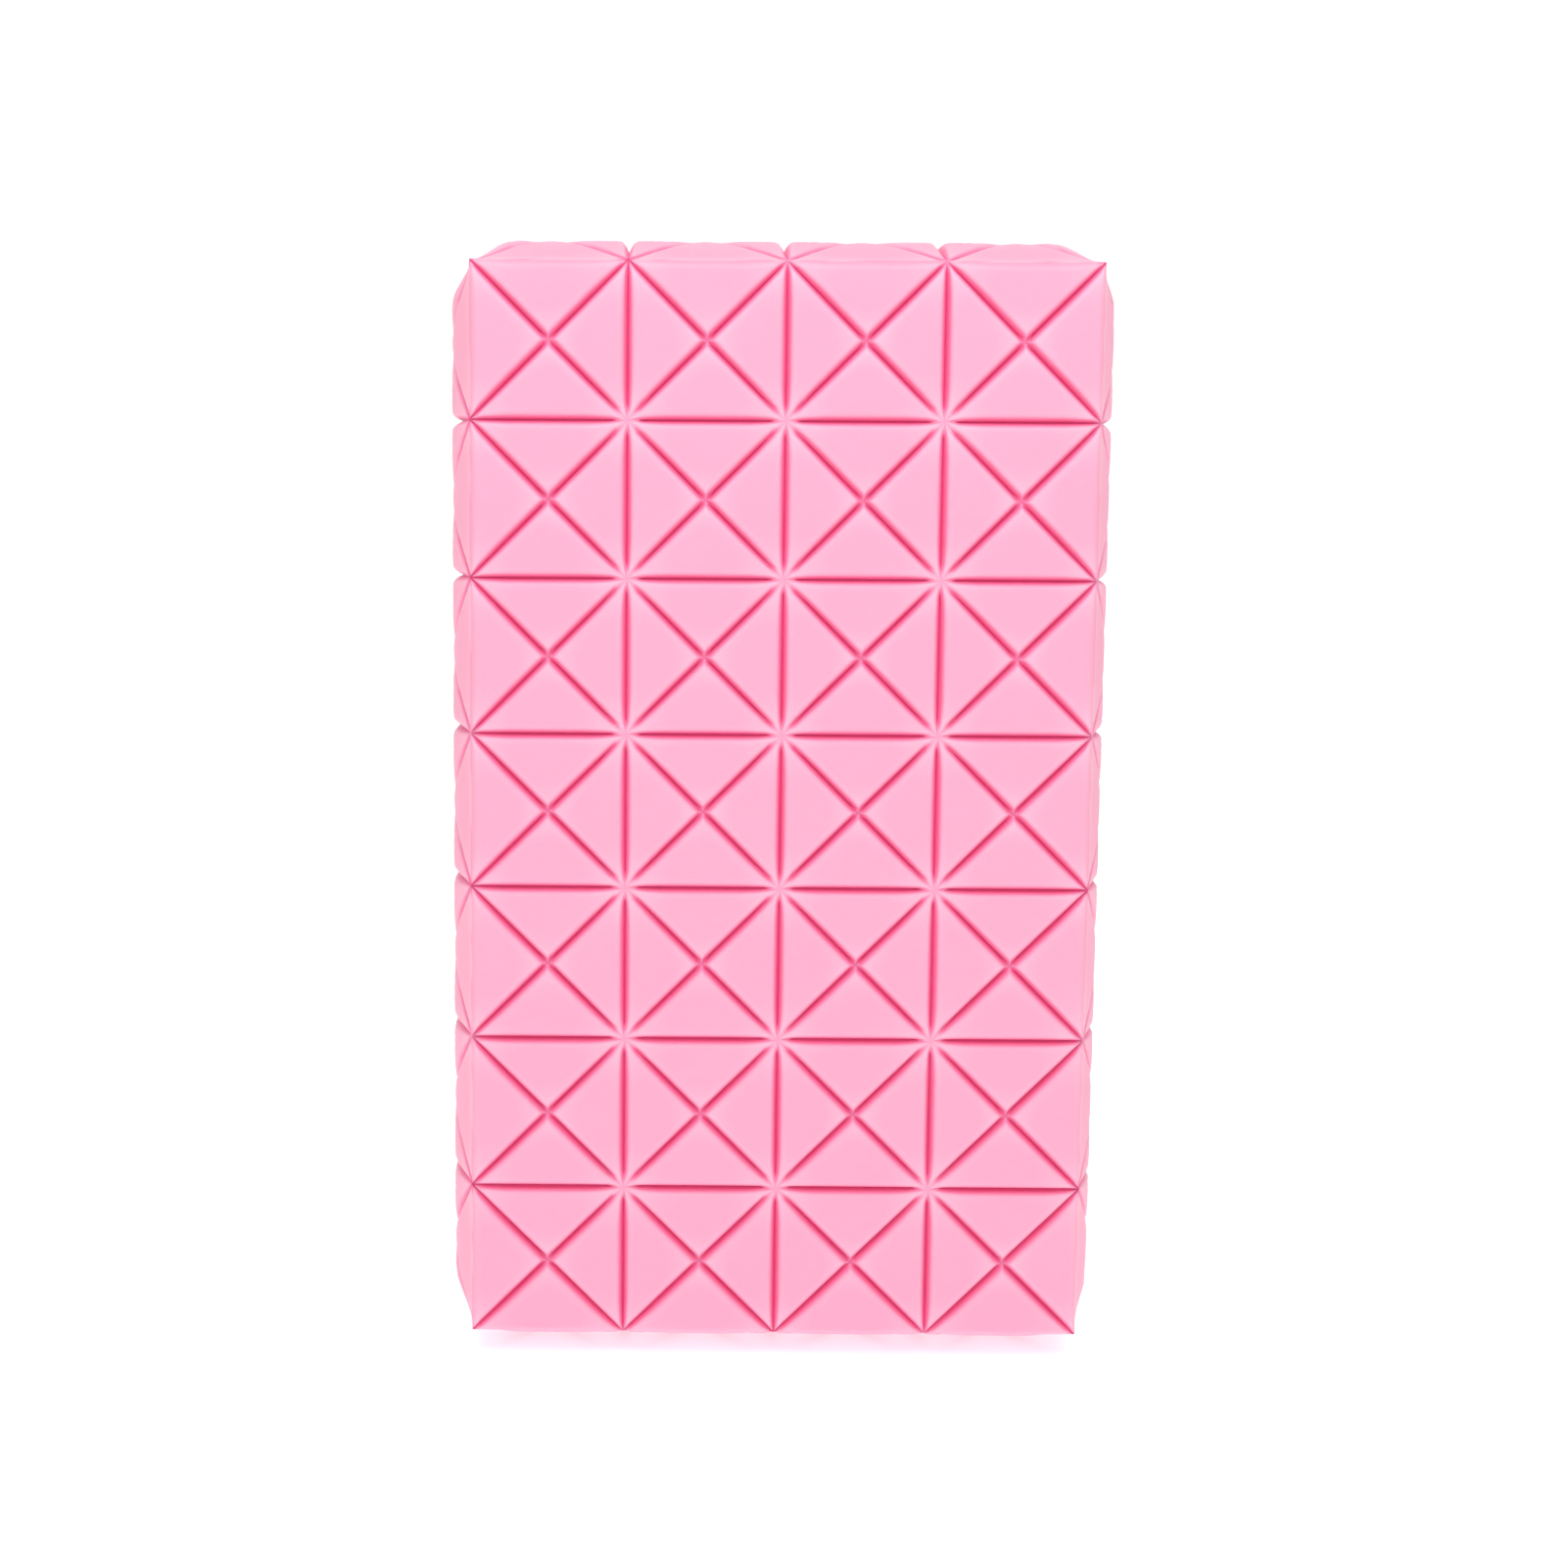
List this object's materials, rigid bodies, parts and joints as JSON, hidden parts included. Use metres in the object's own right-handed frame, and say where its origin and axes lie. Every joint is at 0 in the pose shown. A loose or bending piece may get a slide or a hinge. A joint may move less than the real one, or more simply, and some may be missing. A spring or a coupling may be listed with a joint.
{
  "type": "soap loaf mould",
  "caption": "Deep rectangular silicone loaf mould with a quilted base and quilted walls, open at a plain stiffened rim.",
  "frame": {"origin": "centre of the footprint, on the plane that the lower end wall stands on", "axes": "+Z along the length of the loaf, up as the mould stands on its end; -Y out of the quilted base; +Y out of the open mouth; +X across"},
  "size_m": [0.1088, 0.0878, 0.185],
  "materials": {
    "silicone": "soft pink cured silicone, satin, slightly translucent",
    "steel": "drawn stainless wire"
  },
  "bodies": {
    "root": {"mould_body": "silicone", "rim_wire": "steel"}
  },
  "joints": []
}
